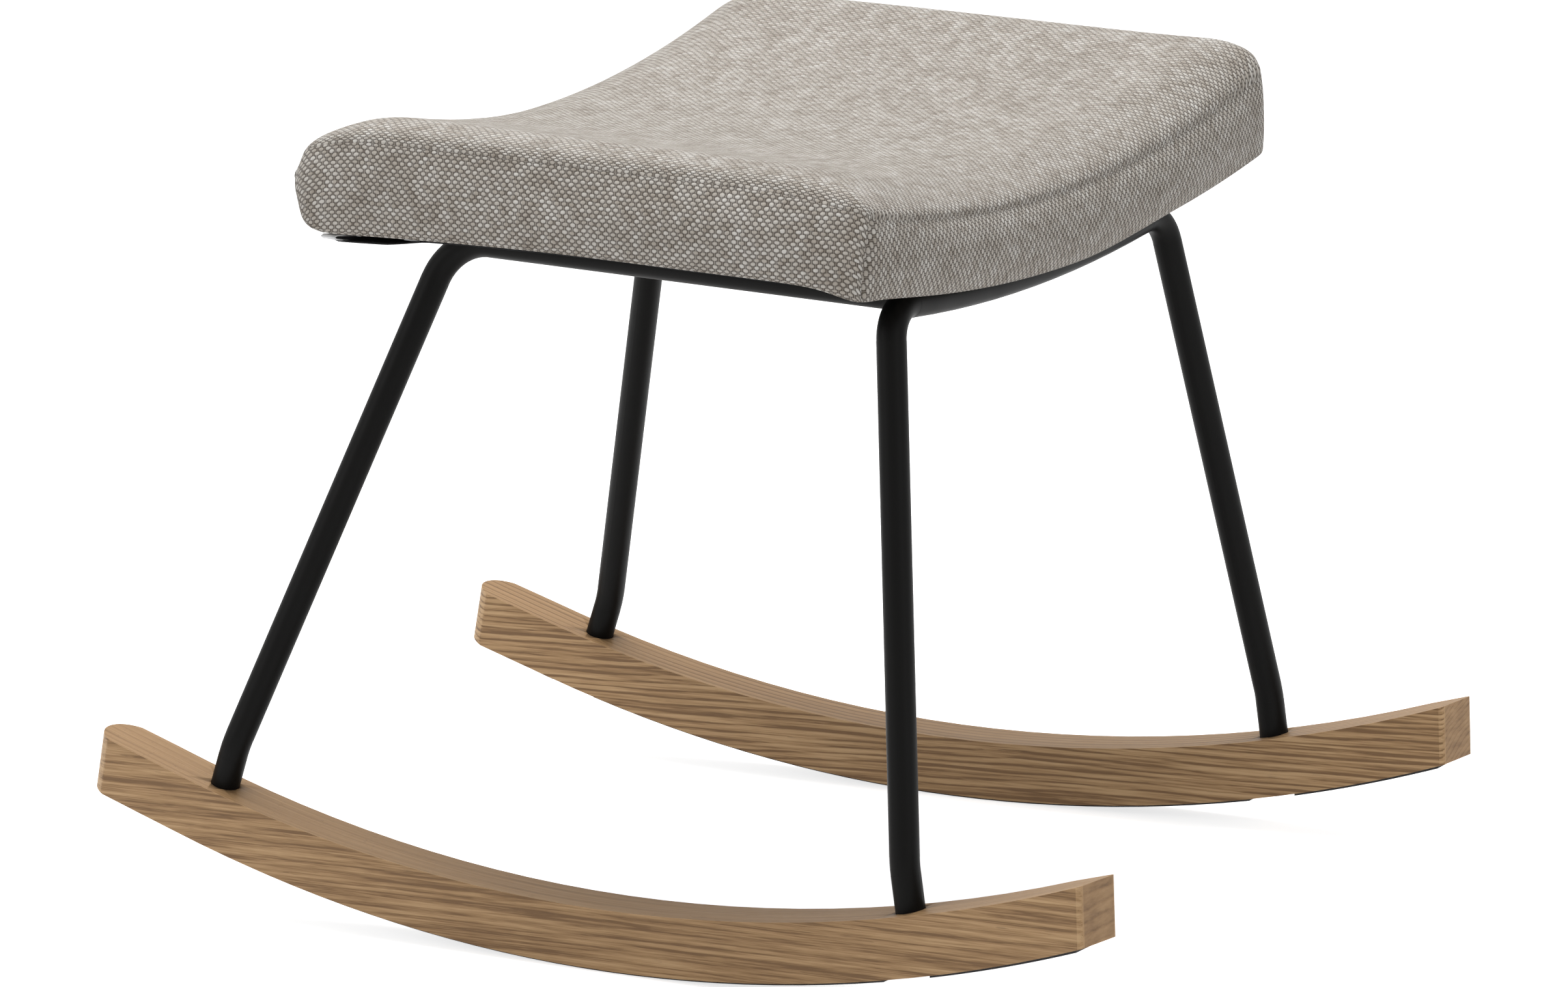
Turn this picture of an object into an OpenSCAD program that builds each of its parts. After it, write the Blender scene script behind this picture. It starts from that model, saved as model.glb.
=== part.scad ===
/* [Rockers] */
// Radius of the curved underside of a rocker
rocker_radius = 930; // [700:10:1400]
// Length of a rocker in front of its front foot
rocker_front_overhang = 112; // [95:1:140]
// Length of a rocker behind its rear foot
rocker_rear_overhang = 79; // [68:1:110]
// Height of a rocker, measured straight up
rocker_height = 33.5; // [30:0.5:48]
// Thickness of a rocker across its side faces
rocker_thickness = 30; // [25:0.5:40]
// Distance between the two rockers, centre to centre, halfway along
rocker_spacing = 390; // [330:1:440]
// Angle by which each rocker opens outwards towards the front
rocker_toe = 1.4; // [0:0.1:3]
// Lean of the rear end cut from upright
rear_end_lean = 9; // [0:0.5:15]
// Lean of the front end cut from upright
front_end_lean = 2.5; // [0:0.5:12]
// Radius in plan of the rounded rear end
rear_end_radius = 16.2; // [15.5:0.1:30]
// Angle that the whole stool settles forward to stand in balance
rest_lean = 2.4; // [0:0.1:4]

/* [Grip strips] */
// Thickness of the strip glued under a rocker
grip_thickness = 1.5; // [1:0.1:3]
// Width of the strip
grip_width = 24; // [14:0.5:25]
// Half length of the gap left in the strip round each foot bolt
grip_gap_half = 14; // [10:0.5:20]
// Distance of the strip from a rocker's end
grip_end_inset = 5; // [2:0.5:12]

/* [Steel frame] */
// Outer diameter of the frame tube
tube_diameter = 16; // [14:0.5:19]
// Wall of the frame tube
tube_wall = 1.5; // [1:0.1:2]
// Distance of both feet from the lowest point of the rockers
foot_reach = 221; // [195:1:240]
// Lean of the rear legs seen from the side
rear_leg_lean = 17.9; // [10:0.1:22]
// Lean of the front legs seen from the side
front_leg_lean = 8.6; // [3:0.1:14]
// Height of the bend above the rocker where a leg turns inwards
ankle_height = 24; // [20:0.5:34]
// Radius of the ankle bend, on the tube's centre line
ankle_radius = 45; // [30:1:60]
// Distance from the centre line to each side rail
rail_offset = 105; // [90:0.5:112]
// Distance from the centre line to each upper corner of the front hoop
hoop_offset = 144.5; // [136:0.5:170]
// Height of the lowest point of the front cross tube's centre line
cross_height = 357.5; // [300:0.5:400]
// Radius of the bend between a rear leg and its side rail
rail_bend_radius = 33; // [28:1:42]
// Radius of the upper corner bends of the front hoop
hoop_bend_radius = 20; // [17:0.5:24]
// Distance from the rear legs' upper bend to the rear cross tube
rear_cross_setback = 40; // [36:1:70]

/* [Seat] */
// Radius of the hollow in the seat's underside
trough_radius = 1120; // [800:10:2000]
// Radius of the hollow across the seat's top
top_radius = 940; // [800:10:2000]
// Length of the seat from rear to front
seat_length = 360; // [335:1:385]
// Width of the seat across its lower edges
seat_width = 443; // [420:1:470]
// Distance of the seat's middle in front of the lowest point of the rockers
seat_forward = 24; // [16:1:38]
// Height of the front end panel in the middle
seat_thickness = 40.5; // [36:0.5:60]
// How far each side face draws in from its lower edge to its upper edge
side_draw_in = 9.5; // [2:0.5:14]
// Rise of the pad above its front seam, along the middle
pad_crown = 17; // [8:0.5:22]
// Extra rise of the pad towards its sides
pad_side_rise = 5; // [0:0.5:12]
// Width of the soft roll along each side
side_roll = 21; // [14:0.5:30]
// Length of the soft roll behind the front seam
front_roll = 40; // [28:1:60]
// Length of the rounding over the rear end
rear_roll = 50; // [36:1:64]
// Drop of the rear edge of the top below the level of the front seam
rear_tuck = 16; // [8:0.5:18]
// Rise of the underside at the rear edge
rear_lift = 12; // [6:0.5:16]
// How far the end panels bulge out
end_bulge = 5; // [2:0.5:9]
// How far the side faces bulge out
side_bulge = 1.5; // [0.5:0.5:4]
// Thickness of the cover with its wadding
cover_thickness = 2; // [1.5:0.1:3]
// Width of the cover's turned-under margin
turn_under = 26; // [18:1:34]
// Thickness of the moulded plywood shell
shell_thickness = 9; // [8:0.5:12]
// Corner radius of the plywood shell
shell_corner = 18; // [10:1:30]
// Thickness of the black cloth under the seat
dust_cover_thickness = 1; // [0.6:0.1:1.4]

/* [Fixings] */
// Depth of the pocket in a rocker that takes the tube's end
pocket_depth = 12; // [10:0.5:15]
// Wood left between the pocket and the bolt's recess
web_thickness = 10; // [8:0.5:14]
// Diameter of the recess for a bolt's head
bolt_recess_diameter = 16; // [15:0.5:18]
// Thread diameter of the bolts and seat screws
thread_diameter = 6; // [5:0.5:6]
// Length of a foot bolt under its head
bolt_length = 25; // [22:1:28]
// Diameter of a bolt's head
bolt_head_diameter = 11; // [10:0.5:12]
// Height of a bolt's head
bolt_head_height = 3.5; // [3:0.5:5]
// Outer diameter of a washer
washer_diameter = 13.5; // [12.5:0.5:14]
// Thickness of a washer
washer_thickness = 1.2; // [0.8:0.1:1.6]
// Length of the threaded plug in a tube's end
plug_length = 20; // [15:1:24]
// Length of a seat plate, along the seat
plate_length = 38; // [34:1:46]
// Width of a seat plate
plate_width = 20; // [16:1:30]
// Thickness of a seat plate
plate_thickness = 4; // [3:0.5:5]
// Distance of each seat plate from the centre line
plate_offset = 66; // [40:1:80]
// Distance from a cross tube to the seat screw in its plate
screw_setback = 17; // [16:0.5:20]
// Length of a seat screw under its head
seat_screw_length = 13; // [11:0.5:14]
// Outer diameter of the T-nut's barrel
tnut_barrel_diameter = 8; // [7.5:0.1:9]
// Diameter of the T-nut's flange
tnut_flange_diameter = 19; // [16:0.5:22]
// Thickness of the T-nut's flange
tnut_flange_thickness = 1.5; // [1:0.1:2]

/* [Hidden] */
$fn = 96;

LEFT = 1;
RIGHT = -1;
FRONT = 1;
REAR = -1;

oak = [0.64, 0.51, 0.36];
rubber = [0.13, 0.13, 0.14];
black_steel = [0.09, 0.09, 0.095];
zinc = [0.62, 0.63, 0.64];
birch = [0.80, 0.69, 0.52];
foam_cream = [0.90, 0.87, 0.78];
wool = [0.66, 0.62, 0.57];
lining = [0.10, 0.10, 0.11];

// Clearances
overrun = 1;
glue_gap = 0.05;
weld_gap = 0.1;
bend_draw_in = 0.05;
bend_lap = 0.02;
tube_fit = 0.15;
bolt_fit = 0.3;
thread_fit = 0.1;
layer_gap = 0.15;
cloth_gap = 0.3;

// Rocker arcs: both share the floor contact at X = 0 before the stool settles
rocker_centre_z = rocker_radius + grip_thickness;
rocker_front_reach = foot_reach + rocker_front_overhang;
rocker_rear_reach = foot_reach + rocker_rear_overhang;
rocker_mid_x = (rocker_front_reach - rocker_rear_reach) / 2;
rocker_length = rocker_front_reach + rocker_rear_reach;
function arc_drop(radius, reach) = radius - sqrt(radius * radius - reach * reach);
function rocker_top_z(x) = grip_thickness + arc_drop(rocker_radius, x) + rocker_height;
function rocker_y(x) = rocker_spacing / 2 + (x - rocker_mid_x) * tan(rocker_toe);

// Corners of the rocker ends once the stool has settled, which centre the model on X = 0
function settled_x(x, z) = x * cos(rest_lean) + (z - rocker_centre_z) * sin(rest_lean);
front_end_low_z = grip_thickness + arc_drop(rocker_radius, rocker_front_reach);
rear_end_low_z = grip_thickness + arc_drop(rocker_radius, rocker_rear_reach);
front_end_x = max(
    settled_x(rocker_front_reach, front_end_low_z),
    settled_x(rocker_front_reach - rocker_height * tan(front_end_lean), front_end_low_z + rocker_height)
);
rear_end_x = settled_x(-rocker_rear_reach, rear_end_low_z);
centring_x = -(front_end_x + rear_end_x) / 2;

// Trough: the seat's underside, its shell and the cross tubes curve about one axis along X
stack_height = plate_thickness + layer_gap + dust_cover_thickness;
shell_underside_z = cross_height + tube_diameter / 2 + stack_height;
seat_underside_z = shell_underside_z - cover_thickness;
cross_radius = trough_radius + tube_diameter / 2 + stack_height - cover_thickness;
trough_centre_z = cross_height + cross_radius;
function trough_z(radius, y) = trough_centre_z - sqrt(radius * radius - y * y);
shell_radius = trough_centre_z - shell_underside_z;

// Frame path points, for the side given by its sign
foot_top_z = rocker_top_z(foot_reach);
front_axis = [-tan(front_leg_lean), 0, 1];
rear_axis = [tan(rear_leg_lean), 0, 1];
function unit(v) = v / norm(v);
function foot(end, side) = [end * foot_reach, side * rocker_y(end * foot_reach), foot_top_z];
function leg_axis(end) = unit(end == FRONT ? front_axis : rear_axis);
function tube_end(end, side) = foot(end, side) - leg_axis(end) * pocket_depth;
function ankle(end, side) = foot(end, side) + leg_axis(end) * ankle_height;
bend_start_share = 1.05;
hoop_slope = asin((hoop_offset - bend_start_share * hoop_bend_radius) / cross_radius);
apex_z = cross_height - cross_radius * (1 / cos(hoop_slope) - 1);
hoop_corner_z = apex_z + hoop_offset * tan(hoop_slope);
hoop_x = foot_reach - (hoop_corner_z - foot_top_z) * tan(front_leg_lean);
rail_z = trough_z(cross_radius, rail_offset);
rail_rear_x = (rail_z - foot_top_z) * tan(rear_leg_lean) - foot_reach;
rear_cross_x = rail_rear_x + rear_cross_setback;
tube_bore = tube_diameter - 2 * tube_wall;

// Seat sizes that follow from the driving ones
seat_mid_x = seat_forward;
seat_front_x = seat_mid_x + seat_length / 2;
seat_rear_x = seat_mid_x - seat_length / 2;
tip_y = seat_width / 2;
crease_y = tip_y - side_draw_in;
top_seam_z = seat_underside_z + seat_thickness;
foam_inset = cover_thickness + cloth_gap;
shell_draw_in = side_draw_in * (cover_thickness + shell_thickness) / seat_thickness;
shell_half_width = tip_y - foam_inset - shell_draw_in;
roll_steps = 5;
lift_steps = 3;
function roll_share(step) = 1 - cos(90 * step / roll_steps);
rear_lift_reach = rear_roll * roll_share(lift_steps);
shell_front_x = seat_front_x - foam_inset;
shell_rear_x = seat_rear_x + rear_lift_reach + foam_inset;
fold_inner_y = tip_y - turn_under;
fold_inner_x = seat_length / 2 - turn_under;

// Placement: the whole stool rolls forward about the rocker arc's centre until it balances
module settled() {
    translate([centring_x, 0, rocker_centre_z])
        rotate([0, rest_lean, 0])
            translate([0, 0, -rocker_centre_z])
                children();
}

// Turns the frame of reference so that Z runs along an axis from a point
steep_share = 0.9;
function frame_x(axis) = unit(cross(abs(axis.y) > steep_share ? [1, 0, 0] : [0, 1, 0], axis));
module aligned(point, axis) {
    w = unit(axis);
    u = frame_x(w);
    v = cross(w, u);
    multmatrix([
        [u.x, v.x, w.x, point.x],
        [u.y, v.y, w.y, point.y],
        [u.z, v.z, w.z, point.z],
        [0, 0, 0, 1]
    ])
        children();
}

// Places a piece on the trough's curve, at an angle to each side of the centre line
module on_trough(x, y, radius) {
    translate([x, 0, trough_centre_z])
        rotate([asin(y / radius), 0, 0])
            translate([0, 0, -radius])
                children();
}

// Tube bent along a path: each run and bend is placed on the end of the one before it
module tube_profile(draw_in) {
    difference() {
        circle(d = tube_diameter - 2 * draw_in);
        circle(d = tube_bore + 2 * draw_in);
    }
}
long_arc_share = 10;
function arc_steps(radius) = radius > long_arc_share * tube_diameter ? 360 : 96;
function path_way(path, i) = unit(path[i + 1] - path[i]);
function path_turn(path, i) = acos(path_way(path, i - 1) * path_way(path, i));
function path_tangent(path, radii, i) =
    i == 0 || i == len(path) - 1 ? 0 : radii[i - 1] * tan(path_turn(path, i) / 2);
function run_length(path, radii, i) =
    norm(path[i + 1] - path[i]) - path_tangent(path, radii, i) - path_tangent(path, radii, i + 1);
module bend(radius, angle) {
    translate([radius, 0, 0])
        rotate([90, 0, 180])
            rotate_extrude(angle = angle, $fn = arc_steps(radius))
                translate([radius, 0])
                    tube_profile(bend_draw_in);
    translate([radius, 0, 0])
        rotate([0, angle, 0])
            translate([-radius, 0, 0])
                children();
}
module tube_from(path, radii, i, local_x) {
    way = path_way(path, i);
    run = run_length(path, radii, i);
    start_lap = i == 0 ? 0 : bend_lap;
    end_lap = i == len(path) - 2 ? 0 : bend_lap;
    translate([0, 0, -start_lap])
        linear_extrude(run + start_lap + end_lap)
            tube_profile(0);
    if (i < len(path) - 2) {
        next_way = path_way(path, i + 1);
        towards = unit(next_way - way * (way * next_way));
        roll = atan2(cross(way, local_x) * towards, local_x * towards);
        turn = path_turn(path, i + 1);
        translate([0, 0, run])
            rotate([0, 0, roll])
                bend(radii[i], turn)
                    tube_from(path, radii, i + 1, towards * cos(turn) - way * sin(turn));
    }
}
module tube_run(path, radii) {
    aligned(path[0], path_way(path, 0))
        tube_from(path, radii, 0, frame_x(path_way(path, 0)));
}

// Rockers: a crescent between two equal arcs, cut to its ends in plan
module crescent(low_radius, high_rise, high_radius) {
    width = rocker_spacing;
    translate([0, 0, rocker_centre_z])
        rotate([90, 0, 0])
            linear_extrude(width, center = true)
                difference() {
                    circle(r = low_radius, $fn = 360);
                    translate([0, high_rise])
                        circle(r = high_radius, $fn = 360);
                }
}
module leaned_to(x, z, lean) {
    translate([x, 0, z])
        rotate([0, lean, 0])
            children();
}
module rocker_plan() {
    half = rocker_thickness / 2;
    room = 2 * rocker_length;
    intersection() {
        leaned_to(-rocker_rear_reach, rear_end_low_z, rear_end_lean)
            linear_extrude(rocker_length, center = true)
                intersection() {
                    union() {
                        translate([rear_end_radius, 0])
                            circle(r = rear_end_radius);
                        translate([rear_end_radius, -half])
                            square([room, rocker_thickness]);
                    }
                    translate([-overrun, -half])
                        square([room, rocker_thickness]);
                }
        leaned_to(rocker_front_reach, front_end_low_z, -front_end_lean)
            translate([-room, -rocker_thickness, -rocker_length / 2])
                cube([room, 2 * rocker_thickness, rocker_length]);
    }
}
module toed(side) {
    translate([rocker_mid_x, side * rocker_spacing / 2, 0])
        rotate([0, 0, side * rocker_toe])
            translate([-rocker_mid_x, 0, 0])
                children();
}
module foot_bores(end, side) {
    down = -leg_axis(end);
    top = foot(end, side);
    recess_start = pocket_depth + web_thickness;
    aligned(top - down * pocket_depth, down)
        cylinder(d = tube_diameter + 2 * tube_fit, h = 2 * pocket_depth);
    aligned(top, down)
        cylinder(d = thread_diameter + 2 * bolt_fit, h = 2 * rocker_height);
    aligned(top + down * recess_start, down)
        cylinder(d = bolt_recess_diameter, h = rocker_height);
}
module rocker(side) {
    color(oak)
        settled()
            difference() {
                toed(side)
                    intersection() {
                        crescent(rocker_radius, rocker_height, rocker_radius);
                        rocker_plan();
                    }
                foot_bores(FRONT, side);
                foot_bores(REAR, side);
            }
}

// Grip strips: one band under each rocker, left out round the two foot bolts
bolt_drop = rocker_height + grip_thickness;
front_gap_x = foot_reach + bolt_drop * tan(front_leg_lean);
rear_gap_x = -foot_reach - bolt_drop * tan(rear_leg_lean);
module grip(side, from_x, to_x) {
    color(rubber)
        settled()
            toed(side)
                intersection() {
                    crescent(rocker_radius + grip_thickness, 0, rocker_radius + glue_gap);
                    translate([from_x, -grip_width / 2, -overrun])
                        cube([to_x - from_x, grip_width, rocker_centre_z]);
                }
}
module grip_rear(side) {
    grip(side, grip_end_inset - rocker_rear_reach, rear_gap_x - grip_gap_half);
}
module grip_middle(side) {
    grip(side, rear_gap_x + grip_gap_half, front_gap_x - grip_gap_half);
}
module grip_front(side) {
    grip(side, front_gap_x + grip_gap_half, rocker_front_reach - grip_end_inset);
}

// Front hoop: both front legs and the curved front cross tube, bent from one length
module front_hoop() {
    corner = [hoop_x, hoop_offset, hoop_corner_z];
    color(black_steel)
        settled()
            tube_run(
                [
                    tube_end(FRONT, RIGHT), ankle(FRONT, RIGHT), [corner.x, -corner.y, corner.z],
                    [corner.x, 0, apex_z],
                    corner, ankle(FRONT, LEFT), tube_end(FRONT, LEFT)
                ],
                [ankle_radius, hoop_bend_radius, cross_radius, hoop_bend_radius, ankle_radius]
            );
}

// Solid tangent rods that cope a tube's end to the tube it is welded against
module cope_rod(point, axis) {
    reach = 4 * tube_diameter;
    aligned(point - unit(axis) * reach, axis)
        cylinder(d = tube_diameter + 2 * weld_gap, h = 2 * reach);
}

// Rear frame: a rear leg bent over into its side rail, coped to the front hoop
module rear_frame(side) {
    rail_angle = asin(rail_offset / cross_radius);
    color(black_steel)
        settled()
            difference() {
                tube_run(
                    [
                        tube_end(REAR, side), ankle(REAR, side),
                        [rail_rear_x, side * rail_offset, rail_z], [hoop_x, side * rail_offset, rail_z]
                    ],
                    [ankle_radius, rail_bend_radius]
                );
                cope_rod([hoop_x, side * rail_offset, rail_z], [0, side * cos(rail_angle), sin(rail_angle)]);
            }
}

// Rear cross tube: parallel to the front one, coped between the side rails
module rear_cross_tube() {
    reach = asin(rail_offset / cross_radius);
    color(black_steel)
        settled()
            difference() {
                translate([rear_cross_x, 0, trough_centre_z])
                    rotate([0, 90, 0])
                        rotate([0, 0, -reach])
                            rotate_extrude(angle = 2 * reach, $fn = arc_steps(cross_radius))
                                translate([cross_radius, 0])
                                    tube_profile(0);
                for (side = [LEFT, RIGHT])
                    cope_rod([rear_cross_x, side * rail_offset, rail_z], [1, 0, 0]);
            }
}

// Foot fixings: plug in the tube's end, washer and bolt from under the rocker
module each_foot() {
    for (end = [FRONT, REAR], side = [LEFT, RIGHT])
        aligned(foot(end, side), -leg_axis(end))
            children();
}
module leg_plugs() {
    color(zinc)
        settled()
            each_foot()
                translate([0, 0, pocket_depth - plug_length])
                    difference() {
                        cylinder(d = tube_bore - 2 * thread_fit, h = plug_length);
                        translate([0, 0, -overrun])
                            cylinder(d = thread_diameter + thread_fit, h = plug_length + 2 * overrun);
                    }
}
module headed_bolt(length) {
    cylinder(d = bolt_head_diameter, h = bolt_head_height);
    translate([0, 0, -length])
        cylinder(d = thread_diameter - thread_fit, h = length + bolt_head_height / 2);
}
module washer() {
    difference() {
        cylinder(d = washer_diameter, h = washer_thickness);
        translate([0, 0, -overrun])
            cylinder(d = thread_diameter + bolt_fit, h = washer_thickness + 2 * overrun);
    }
}
web_end = pocket_depth + web_thickness;
module leg_bolts() {
    color(zinc)
        settled()
            each_foot()
                translate([0, 0, web_end + washer_thickness])
                    headed_bolt(bolt_length);
}
module leg_washers() {
    color(zinc)
        settled()
            each_foot()
                translate([0, 0, web_end])
                    washer();
}

// Seat plates: flat tabs welded on the cross tubes, each with one screw hole
plate_bottom_radius = cross_radius - tube_diameter / 2;
function cross_x(end) = end == FRONT ? hoop_x : rear_cross_x;
module seat_plate(end, side) {
    inboard = -end;
    mid_x = inboard * (plate_length - tube_diameter) / 2;
    color(black_steel)
        settled()
            on_trough(cross_x(end), side * plate_offset, plate_bottom_radius)
                difference() {
                    translate([mid_x, 0, plate_thickness / 2 + weld_gap])
                        cube([plate_length, plate_width, plate_thickness - weld_gap], center = true);
                    translate([inboard * screw_setback, 0, -overrun])
                        cylinder(d = thread_diameter + 2 * bolt_fit, h = plate_thickness + 2 * overrun);
                }
}

// Places a piece on each seat screw's axis, with Z up and zero at the plate's underside
module each_screw() {
    for (end = [FRONT, REAR], side = [LEFT, RIGHT])
        on_trough(cross_x(end) - end * screw_setback, side * plate_offset, plate_bottom_radius)
            children();
}
module seat_screws() {
    color(zinc)
        settled()
            each_screw()
                translate([0, 0, weld_gap - washer_thickness])
                    mirror([0, 0, 1])
                        headed_bolt(seat_screw_length);
}
module seat_washers() {
    color(zinc)
        settled()
            each_screw()
                translate([0, 0, weld_gap - washer_thickness])
                    washer();
}
module tee_nuts() {
    barrel = shell_thickness - tnut_flange_thickness;
    color(zinc)
        settled()
            each_screw()
                translate([0, 0, stack_height])
                    difference() {
                        union() {
                            cylinder(d = tnut_barrel_diameter - 2 * thread_fit, h = shell_thickness);
                            translate([0, 0, barrel])
                                cylinder(d = tnut_flange_diameter, h = tnut_flange_thickness);
                        }
                        translate([0, 0, -overrun])
                            cylinder(d = thread_diameter + thread_fit, h = shell_thickness + 2 * overrun);
                    }
}

// Shell: moulded plywood bent to the trough, bored and counterbored for the T-nuts
module trough_band(low_radius, thickness, length, half_width) {
    translate([seat_mid_x, 0, trough_centre_z])
        rotate([90, 0, 90])
            linear_extrude(length, center = true)
                intersection() {
                    difference() {
                        circle(r = low_radius, $fn = 360);
                        circle(r = low_radius - thickness, $fn = 360);
                    }
                    translate([-half_width, -2 * low_radius])
                        square([2 * half_width, 2 * low_radius]);
                }
}
module rounded_blank(mid_x, length, half_width, corner) {
    translate([mid_x, 0, 0])
        linear_extrude(trough_centre_z)
            union() {
                square([length - 2 * corner, 2 * half_width], center = true);
                square([length, 2 * (half_width - corner)], center = true);
                for (x = [-1, 1], y = [-1, 1])
                    translate([x * (length / 2 - corner), y * (half_width - corner)])
                        circle(r = corner);
            }
}
module seat_shell() {
    flange_fit = tnut_flange_diameter + 2 * bolt_fit;
    color(birch)
        settled()
            difference() {
                intersection() {
                    trough_band(shell_radius, shell_thickness, seat_length, tip_y);
                    rounded_blank(
                        (shell_front_x + shell_rear_x) / 2, shell_front_x - shell_rear_x, shell_half_width,
                        shell_corner
                    );
                }
                each_screw() {
                    cylinder(d = tnut_barrel_diameter, h = 3 * shell_thickness);
                    translate([0, 0, stack_height + shell_thickness - tnut_flange_thickness])
                        cylinder(d = flange_fit, h = 2 * shell_thickness);
                }
            }
}
module dust_cover() {
    screw_hole = washer_diameter - 2 * washer_thickness;
    color(lining)
        settled()
            difference() {
                intersection() {
                    trough_band(
                        shell_radius + dust_cover_thickness, dust_cover_thickness - glue_gap, seat_length, tip_y
                    );
                    rounded_blank(
                        seat_mid_x, 2 * (fold_inner_x - cloth_gap), fold_inner_y - cloth_gap, shell_corner
                    );
                }
                each_screw()
                    cylinder(d = screw_hole, h = 2 * shell_thickness);
            }
}

// Soft seat: its outer surface as functions of the place along X and across Y
function quarter_round(share) =
    let(left = 1 - min(1, max(0, share)))
    sqrt(1 - left * left);
function rear_round(x) = quarter_round((x - seat_rear_x) / rear_roll);
function pad_rise(x, y) =
    (pad_crown + pad_side_rise * pow(y / crease_y, 2))
    * quarter_round((crease_y - abs(y)) / side_roll)
    * quarter_round((seat_front_x - x) / front_roll)
    * rear_round(x);
function top_z(x, y) =
    top_seam_z + arc_drop(top_radius, y) + pad_rise(x, y) - rear_tuck * (1 - rear_round(x));
function underside_z(y) = trough_centre_z - sqrt(pow(trough_centre_z - seat_underside_z, 2) - y * y);
function low_z(x, y) =
    underside_z(y) + rear_lift * (1 - quarter_round((x - seat_rear_x) / rear_lift_reach));

// Places of the grid lines: close together over each roll, even between them
length_steps = 5;
top_steps = 7;
rear_roll_end_x = seat_rear_x + rear_roll;
front_roll_end_x = seat_front_x - front_roll;
stations = [
    for (step = [0 : roll_steps])
        seat_rear_x + rear_roll * roll_share(step),
    for (step = [1 : length_steps - 1])
        rear_roll_end_x + (front_roll_end_x - rear_roll_end_x) * step / length_steps,
    for (step = [roll_steps : -1 : 0])
        seat_front_x - front_roll * roll_share(step)
];
half_lines = [
    for (step = [0 : roll_steps])
        crease_y - side_roll * roll_share(step),
    for (step = [1 : top_steps])
        (crease_y - side_roll) * (1 - step / top_steps)
];
last_line = len(half_lines) - 1;
function inset_x(x, inset) = x - (x - seat_mid_x) * inset / (seat_length / 2);
function inset_y(y, inset) = y - y * inset / crease_y;

// Closed sheet between two grids of points with the same rows and columns
module sheet(outer, inner) {
    rows = len(outer);
    cols = len(outer[0]);
    back = rows * cols;
    points = [for (grid = [outer, inner], row = grid, point = row) point];
    function at(i, j) = i * cols + j;
    function pair(a, b, c, d) = [[a, b, c], [a, c, d]];
    faces = [
        for (i = [0 : rows - 2], j = [0 : cols - 2])
            each pair(at(i, j), at(i, j + 1), at(i + 1, j + 1), at(i + 1, j)),
        for (i = [0 : rows - 2], j = [0 : cols - 2])
            each pair(back + at(i, j), back + at(i + 1, j), back + at(i + 1, j + 1), back + at(i, j + 1)),
        for (i = [0 : rows - 2], j = [0, cols - 1])
            each j == 0
                ? pair(at(i, j), at(i + 1, j), back + at(i + 1, j), back + at(i, j))
                : pair(at(i + 1, j), at(i, j), back + at(i, j), back + at(i + 1, j)),
        for (j = [0 : cols - 2], i = [0, rows - 1])
            each i == 0
                ? pair(at(i, j + 1), at(i, j), back + at(i, j), back + at(i, j + 1))
                : pair(at(i, j), at(i, j + 1), back + at(i, j + 1), back + at(i, j))
    ];
    polyhedron(points = points, faces = faces);
}

// Half outline of the seat across Y at one place along it, from the turned-under edge to the middle
side_shares = [1 / 3, 2 / 3];
function half_outline(x, inset) =
    let(
        fold = [fold_inner_y, low_z(x, fold_inner_y) + inset],
        tip = [tip_y - inset, low_z(x, tip_y) + inset],
        crease = [crease_y - inset, top_z(x, crease_y) - inset]
    )
    [
        fold,
        tip,
        for (share = side_shares)
            tip * (1 - share) + crease * share + [side_bulge * 4 * share * (1 - share), 0],
        for (y = half_lines)
            [inset_y(y, inset), top_z(x, y) - inset]
    ];
function full_outline(x, inset) =
    let(
        half = half_outline(x, inset),
        count = len(half)
    )
    [
        for (point = half) [inset_x(x, inset), point.x, point.y],
        for (i = [count - 2 : -1 : 0]) [inset_x(x, inset), -half[i].x, half[i].y]
    ];
module cover_top() {
    color(wool)
        settled()
            sheet(
                [for (x = stations) full_outline(x, 0)],
                [for (x = stations) full_outline(x, cover_thickness)]
            );
}

// End panel: a thin panel that bulges out between the seams, sewn inside the top cover's edge
panel_columns = 18;
panel_rows = 6;
panel_half = tip_y - foam_inset;
panel_half_top = crease_y - foam_inset;
function panel_point(end, i, j, depth) =
    let(
        across = 2 * i / panel_columns - 1,
        up = j / panel_rows,
        y = across * (panel_half * (1 - up) + panel_half_top * up),
        seam_x = seat_mid_x + end * seat_length / 2,
        low = low_z(seam_x, y) + foam_inset,
        high = top_z(seam_x, y) - foam_inset,
        bulge = end_bulge * (1 - pow(across, 4)) * 4 * up * (1 - up)
    )
    [seam_x + end * (bulge - depth), y, low * (1 - up) + high * up];
module end_panel(end) {
    function grid(depth) =
        [for (i = [0 : panel_columns]) [for (j = [0 : panel_rows]) panel_point(end, i, j, depth)]];
    outside = grid(0);
    inside = grid(cover_thickness);
    color(wool)
        settled()
            sheet(end == FRONT ? outside : inside, end == FRONT ? inside : outside);
}

// Foam pad: fills the cover above the shell, on the same grid lines as the cover
foam_half_low = shell_half_width - foam_inset;
function foam_line(j) = j <= last_line ? half_lines[j] : -half_lines[2 * last_line - j];
function foam_floor_z(x, y) =
    max(
        trough_centre_z - sqrt(pow(shell_radius - shell_thickness - layer_gap, 2) - y * y),
        low_z(x, y) + foam_inset
    );
function foam_top_point(x, y) = [inset_x(x, foam_inset), inset_y(y, foam_inset), top_z(x, y) - foam_inset];
function foam_low_point(x, y) =
    let(low_y = y * foam_half_low / crease_y)
    [inset_x(x, foam_inset), low_y, foam_floor_z(x, low_y)];
module seat_foam() {
    color(foam_cream)
        settled()
            sheet(
                [for (x = stations) [for (j = [0 : 2 * last_line]) foam_top_point(x, foam_line(j))]],
                [for (x = stations) [for (j = [0 : 2 * last_line]) foam_low_point(x, foam_line(j))]]
            );
}

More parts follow.
